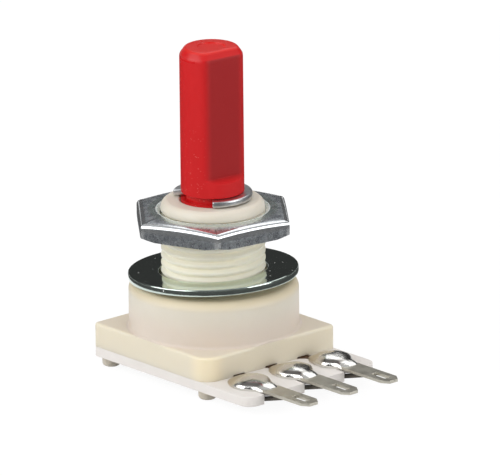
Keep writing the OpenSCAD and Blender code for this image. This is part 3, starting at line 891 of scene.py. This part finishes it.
def hexagon_nut():
    """The nut: a hexagon bar turned to a shallow cone on top and a steeper one below, and bored."""
    foot_z = NUT_TOP_Z - NUT_T
    # The cones' flat ends lie a little lower than the bar's
    skim = 0.01
    # A radius past the bar's corners
    far = 9.0
    drop = (far - NUT_CROWN_R) * tan(radians(NUT_CROWN_SLOPE))
    lift = (far - NUT_FOOT_R) * tan(radians(NUT_FOOT_SLOPE))
    cones = [
        (0, foot_z - skim),
        (NUT_FOOT_R, foot_z - skim),
        (far, foot_z + lift),
        (far, NUT_TOP_Z - drop),
        (NUT_CROWN_R, NUT_TOP_Z - skim),
        (0, NUT_TOP_Z - skim),
    ]
    piece = combine(hexagon_bar(foot_z), [raw("cones", lathe(cones, 192))], "INTERSECT")
    wide = NUT_BORE_R + NUT_BORE_BEVEL
    bore = [
        (0, foot_z - 1),
        (wide, foot_z - 1),
        (wide, foot_z - 2 * skim),
        (NUT_BORE_R, foot_z + NUT_BORE_BEVEL),
        (NUT_BORE_R, NUT_TOP_Z - NUT_BORE_BEVEL),
        (wide, NUT_TOP_Z),
        (wide, NUT_TOP_Z + 1),
        (0, NUT_TOP_Z + 1),
    ]
    bm = reopened(combine(piece, [raw("bore", lathe(bore))], "DIFFERENCE"))
    # The limit is less than the turn between two facets of the cones, so that those always stay
    bmesh.ops.dissolve_limit(bm, angle_limit=radians(0.2), verts=bm.verts, edges=bm.edges)
    # The edges round the top are polished first, then the rest, and the bore's edges stay sharp
    for lowest, radius, segments in ((foot_z + 1, NUT_TOP_EDGE_R, 8), (foot_z - 1, NUT_EDGE_R, 3)):
        outer = [
            e for e in sharp_edges(bm, 50)
            if all(v.co.xy.length > wide + 0.3 and v.co.z > lowest for v in e.verts)
        ]
        bevel(bm, outer, radius, segments)
    piece = finished("nut", bm, 35)
    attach(piece, "nut")
    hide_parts("hex_nut")
    return piece


# Shaft

def side_distance(angle, radius, flat):
    """Distance of the shaft's side from its axis, at an angle from the flat's middle. Where the
    flat meets the round, an arc joins them."""
    if flat >= radius:
        return radius
    middle_y = flat - FLAT_EDGE_R
    middle_r = radius - FLAT_EDGE_R
    middle_x = sqrt(middle_r ** 2 - middle_y ** 2)
    angle = abs(angle)
    if angle > atan2(middle_x, middle_y):
        return radius
    if angle < atan2(middle_x, flat):
        return flat / cos(angle)
    off = angle - atan2(middle_x, middle_y)
    return middle_r * cos(off) + sqrt(FLAT_EDGE_R ** 2 - (middle_r * sin(off)) ** 2)


def flat_distance(height, radius):
    """Distance of the flat from the axis: it sinks in above the soft shoulder, and follows the
    bevel of the shaft's end."""
    rise = clamp((height - SHOULDER_Z) / SHOULDER_H)
    return radius - (SHAFT_R - FLAT_Y) * (1 - (1 - rise) ** 2)


def shaft_section():
    """Half section of the shaft, disc and hub, with close rings where the shoulder is pressed in."""
    disc_foot = DISC_TOP_Z - DISC_T
    groove_top = GROOVE_Z + GROOVE_H
    slope = degrees(atan2(END_BEVEL, END_BEVEL_H))
    foot_reach = BEVEL_FOOT_R * tan(radians(slope / 2))
    tip_reach = TIP_R * tan(radians((90 - slope) / 2))
    points = [
        (0, HUB_Z),
        (HUB_R, HUB_Z),
        (HUB_R, disc_foot),
        (DISC_R, disc_foot),
        (DISC_R, DISC_TOP_Z),
        (SHAFT_R, DISC_TOP_Z),
        (SHAFT_R, GROOVE_Z),
        (GROOVE_R, GROOVE_Z),
        (GROOVE_R, groove_top),
        (SHAFT_R - GROOVE_BEVEL, groove_top),
        (SHAFT_R, groove_top + GROOVE_BEVEL),
        (SHAFT_R, SHOULDER_Z - 0.04),
    ]
    points += [(SHAFT_R, SHOULDER_Z + SHOULDER_H * i / 24) for i in range(25)]
    points += [(SHAFT_R, 14), (SHAFT_R, 18)]
    points += arc(SHAFT_R - BEVEL_FOOT_R, SHAFT_TOP - END_BEVEL_H - foot_reach, BEVEL_FOOT_R, 0, slope, 5)
    points += arc(SHAFT_R - END_BEVEL - tip_reach, SHAFT_TOP - TIP_R, TIP_R, slope, 90, 5)
    gate_z = SHAFT_TOP - GATE_DEPTH
    return points + [(GATE_R, SHAFT_TOP), (GATE_R - GATE_SLOPE, gate_z), (0, gate_z)]


def stop_lug():
    """The lug on the disc that meets the housing's rib at both ends of the turn."""
    foot_z = DISC_TOP_Z - DISC_T + LUG_GAP
    half = radians(LUG_ANGLE / 2)
    bm = block((-1, 0, foot_z), (1, 1, DISC_TOP_Z - LUG_GAP))
    for vert in bm.verts:
        reach = LUG_R if vert.co.y > 0.5 else SHAFT_R - 0.5
        vert.co.x = side_of(vert.co.x) * reach * sin(half)
        vert.co.y = reach * cos(half)
    return raw("lug", bm)


def wiper_pin(place):
    """A pin under the hub that holds the wiper."""
    top = HUB_Z + 0.5
    return raw("pin", lathe([(0, STAKE_Z), (STAKE_R, STAKE_Z), (STAKE_R, top), (0, top)], 24, place))


def turned_shaft():
    """Shaft, disc, hub, lug and pins as one moulding. The flat is pressed into the turned bar."""
    bm = lathe(shaft_section(), 192)
    for vert in bm.verts:
        radius = vert.co.xy.length
        if vert.co.z > SHOULDER_Z and radius > GATE_R + 0.01:
            angle = atan2(vert.co.x, -vert.co.y)
            share = side_distance(angle, radius, flat_distance(vert.co.z, radius)) / radius
            vert.co.x *= share
            vert.co.y *= share
    pins = [wiper_pin(place) for place in STAKES]
    bm = reopened(combine(raw("bar", bm), [stop_lug()] + pins, "UNION"))
    turn_about_z(bm, radians(SHAFT_TURN))
    piece = finished("knob_shaft", bm, 40)
    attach(piece, "rotor")
    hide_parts("shaft")
    return piece


# Stage, in metres

FLOOR_R = 8
FLOOR_GREY = 0.7
GLOW = 1.08
GLOW_SHARE = 0.86
SURROUND_R = 0.03
SURROUND_SPREAD = 20
SURROUND_LIFT = 0.0005
SURROUND_GREY = 0.045


def floor(z):
    """A pale floor at a height. To the camera and in reflections it glows white, and it keeps the
    part's shadow."""
    bm = bmesh.new()
    bmesh.ops.create_circle(bm, cap_ends=True, segments=64, radius=FLOOR_R)
    bmesh.ops.translate(bm, vec=(0, 0, z), verts=bm.verts)
    piece = raw("floor", bm)
    grey = (FLOOR_GREY, FLOOR_GREY, FLOOR_GREY, 1)
    paint = Paint("pale floor", None, Base_Color=grey, Roughness=0.9, Specular_IOR_Level=0.0)
    camera_ray = paint.node("ShaderNodeLightPath", output="Is Camera Ray")
    glossy_ray = paint.node("ShaderNodeLightPath", output="Is Glossy Ray")
    clear_ray = paint.node("ShaderNodeLightPath", output="Is Transmission Ray")
    share = camera_ray.most(glossy_ray, clear_ray) * GLOW_SHARE
    lit = Value(paint, paint.shader.outputs[0])
    glow = paint.node("ShaderNodeEmission", None, {"Color": (1, 1, 1, 1), "Strength": GLOW})
    mixed = paint.node("ShaderNodeMixShader", None, {0: share, 1: lit, 2: glow})
    paint.end("Material Output", "Surface", mixed)
    piece.data.materials.append(paint.material)


def dark_surround(z):
    """A dark ring that lies round the part, outside the view, and is seen only in reflections."""
    bm = bmesh.new()
    bmesh.ops.create_circle(bm, cap_ends=False, segments=96, radius=SURROUND_R)
    rim = bmesh.ops.extrude_edge_only(bm, edges=bm.edges[:])
    outer = [g for g in rim["geom"] if isinstance(g, bmesh.types.BMVert)]
    bmesh.ops.scale(bm, vec=(SURROUND_SPREAD, SURROUND_SPREAD, 1), verts=outer)
    bmesh.ops.translate(bm, vec=(0, 0, z + SURROUND_LIFT), verts=bm.verts)
    piece = raw("dark_surround", bm)
    grey = (SURROUND_GREY, SURROUND_GREY, SURROUND_GREY, 1)
    paint = Paint("dark cloth", None, Base_Color=grey, Roughness=1.0)
    piece.data.materials.append(paint.material)
    piece.visible_camera = False
    piece.visible_diffuse = False
    piece.visible_shadow = False


# Camera and light

# The camera's direction from the photograph, in degrees, and its distance in millimetres
TURN = radians(-41.124)
RISE = radians(17.449)
ROLL = radians(0.6)
DISTANCE = 1200.0
SENSOR_W = 36.0
PIXELS_PER_MM = 10.608
FRAME_W = 500
FRAME_H = 476
ORIGIN_PX = (213.6, 277.9)
RIGHT = Vector((cos(TURN), sin(TURN), 0))
BACK = Vector((sin(TURN) * cos(RISE), -cos(TURN) * cos(RISE), sin(RISE)))
UP = BACK.cross(RIGHT)


def camera():
    """The camera, placed so that the part's origin falls where the photograph has it."""
    data = bpy.data.cameras.new("camera")
    data.sensor_width = SENSOR_W
    data.lens = PIXELS_PER_MM * DISTANCE * SENSOR_W / FRAME_W
    data.clip_end = 50
    right = RIGHT * cos(ROLL) - UP * sin(ROLL)
    up = RIGHT * sin(ROLL) + UP * cos(ROLL)
    aside = (FRAME_W / 2 - ORIGIN_PX[0]) / PIXELS_PER_MM
    above = (ORIGIN_PX[1] - FRAME_H / 2) / PIXELS_PER_MM
    place = (BACK * DISTANCE + right * aside + up * above) * MM
    turn = Matrix((right, up, BACK)).transposed().to_4x4()
    camera_object = bpy.data.objects.new("camera", data)
    camera_object.matrix_world = Matrix.Translation(place) @ turn
    bpy.context.scene.collection.objects.link(camera_object)
    bpy.context.scene.camera = camera_object


def lamp(name, aside, above, before, size, power, mirrored=True):
    """A soft lamp placed as the camera sees it, in metres, and aimed at the part. Shiny surfaces
    mirror it unless told not to."""
    data = bpy.data.lights.new(name, "AREA")
    data.shape = "RECTANGLE"
    data.size, data.size_y = size
    data.energy = power
    lamp_object = bpy.data.objects.new(name, data)
    place = RIGHT * aside + UP * above + BACK * before
    lamp_object.location = place
    lamp_object.rotation_euler = place.to_track_quat("Z", "Y").to_euler()
    lamp_object.visible_glossy = mirrored
    bpy.context.scene.collection.objects.link(lamp_object)


def surroundings():
    """A studio that is dark round the part and bright overhead."""
    world = bpy.data.worlds.new("studio")
    bpy.context.scene.world = world
    world.use_nodes = True
    wiring = Wiring(world.node_tree)
    direction = wiring.node("ShaderNodeTexCoord", output="Generated")
    height = wiring.node("ShaderNodeSeparateXYZ", None, {0: direction}, output=2)
    greys = ((0.0, 1.0), (0.03, 1.0), (0.06, 0.03), (0.4, 0.05), (0.6, 0.14), (0.8, 0.5), (1.0, 0.6))
    stops = [(position, (grey, grey, grey, 1)) for position, grey in greys]
    wiring.end("Background", "Color", wiring.node("ShaderNodeValToRGB", {"stops": stops}, {0: height}))


bpy.context.scene.view_settings.view_transform = "Standard"
camera()
surroundings()
floor(FOOT_Z * MM)
dark_surround(FOOT_Z * MM)
lamp("key", aside=-0.55, above=0.24, before=0.35, size=(0.8, 0.5), power=4.1)
lamp("fill", aside=0.66, above=0.12, before=0.36, size=(0.5, 0.5), power=2.6)
lamp("top", aside=0.2, above=0.74, before=-0.24, size=(0.8, 0.55), power=1.8)
lamp("front", aside=0.1, above=0.5, before=0.8, size=(0.6, 0.6), power=2.2, mirrored=False)

ivory_plastic().on(moulded_housing())

plate = rounded_copy("base_plate", "ceramic_plate", 0.08, 3)
tighten_back_corners(plate)
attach(plate, "case")
white_ceramic().on(plate)

tin = tinned_sheet()
joint = solder()
# How far each mound leans to one side, and where its lumps are drawn from
MOUNDS = ((-0.1, 1.3), (0.05, 4.1), (0.02, 7.7))
for side, x, (lean, seed) in zip(("left", "middle", "right"), TAG_XS, MOUNDS):
    tag = rounded_copy(f"solder_tag_{side}", f"tag_{side}", 0.05, 2)
    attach(tag, "case")
    tin.on(tag)
    joint.on(solder_mound(f"solder_{side}", f"solder_joint_{side}", x, lean, seed))

bright_plate().on(leaning_washer())
zinc_plate().on(hexagon_nut())
red_plastic().on(turned_shaft())

ring = rounded_copy("retaining_ring", "ring", 0.14, 4)
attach(ring, "rotor")
ring_steel().on(ring)

resistive_film().on(NODES["resistive_track"])
silver_film().on(NODES["collector_track"], NODES["end_lead_left"], NODES["end_lead_right"])
spring_alloy().on(NODES["wiper_spring"])
